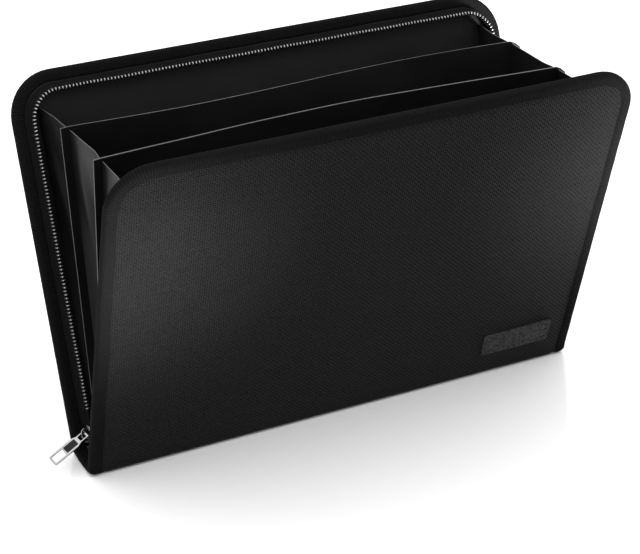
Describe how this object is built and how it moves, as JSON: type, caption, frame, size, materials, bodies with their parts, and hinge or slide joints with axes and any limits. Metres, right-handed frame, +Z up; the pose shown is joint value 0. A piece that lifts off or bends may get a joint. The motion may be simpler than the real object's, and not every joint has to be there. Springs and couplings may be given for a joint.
{
  "type": "expanding file folder",
  "caption": "Zip-round expanding file folder standing open in a V on its spine, with stiff bound covers, dividers, pleated gussets and a zip slider.",
  "frame": {"origin": "middle of the spine's underside, on the surface that the folder stands on", "axes": "+X along the spine to the right seen from the front, +Y towards the back cover, +Z up"},
  "size_m": [0.3699, 0.1812, 0.2356],
  "materials": {
    "outer_fabric": "woven twill, matt with a soft sheen",
    "lining": "smooth, slightly satin",
    "cover_board": "plain board",
    "binding": "ribbed tape, matt",
    "zip_tape": "woven tape, matt",
    "zip_teeth": "bright",
    "film": "smooth film with a soft sheen",
    "slider_metal": "polished",
    "label": "matt, embossed rim"
  },
  "bodies": {
    "spine": {"spine_fabric": "outer_fabric", "spine_board": "cover_board", "spine_lining": "lining", "left_spine_binding": "binding", "right_spine_binding": "binding"},
    "back_cover": {"back_cover_fabric": "outer_fabric", "back_cover_board": "cover_board", "back_cover_lining": "lining", "back_cover_binding": "binding", "back_zip_tape": "zip_tape", "back_zip_teeth": "zip_teeth", "left_rear_gusset": "film", "right_rear_gusset": "film"},
    "front_cover": {"front_cover_fabric": "outer_fabric", "front_cover_board": "cover_board", "front_cover_lining": "lining", "front_cover_binding": "binding", "front_zip_tape": "zip_tape", "front_zip_teeth": "zip_teeth", "label_patch": "label", "left_front_gusset": "film", "right_front_gusset": "film"},
    "rear_divider": {"rear_divider": "film", "left_middle_gusset": "film", "right_middle_gusset": "film"},
    "front_divider": {"front_divider": "film"},
    "zip_slider": {"zip_slider": "slider_metal"},
    "zip_pull": {"zip_pull": "slider_metal"}
  },
  "joints": [
    {"name": "back_cover_fold", "type": "hinge", "parent": "spine", "child": "back_cover", "pos_m": [0, 0.0175, 0.0049], "axis": [1, 0, 0], "range_deg": [0, 21], "deforming": ["left_rear_gusset", "right_rear_gusset", "left_middle_gusset", "right_middle_gusset"]},
    {"name": "front_cover_fold", "type": "hinge", "parent": "spine", "child": "front_cover", "pos_m": [0, -0.0175, 0.0049], "axis": [-1, 0, 0], "range_deg": [0, 15], "deforming": ["left_front_gusset", "right_front_gusset"]},
    {"name": "rear_divider_fold", "type": "hinge", "parent": "spine", "child": "rear_divider", "pos_m": [0, 0.0058, 0.0049], "axis": [1, 0, 0], "range_deg": [0, 9]},
    {"name": "front_divider_fold", "type": "hinge", "parent": "spine", "child": "front_divider", "pos_m": [0, -0.0058, 0.0049], "axis": [-1, 0, 0], "range_deg": [0, 3]},
    {"name": "zip_slider_travel", "type": "slide", "parent": "back_cover", "child": "zip_slider", "axis": [0, 0.3584, 0.9336], "range_m": [0, 0.19]},
    {"name": "pull_swing", "type": "hinge", "parent": "zip_slider", "child": "zip_pull", "pos_m": [-0.1693, 0.00424, 0.0192], "axis": [0, 0.9336, -0.3584], "range_deg": [-3, 65]}
  ],
  "couplings": [
    {"joint": "rear_divider_fold", "follows": "back_cover_fold", "ratio": 0.42857},
    {"joint": "front_divider_fold", "follows": "front_cover_fold", "ratio": 0.2}
  ]
}
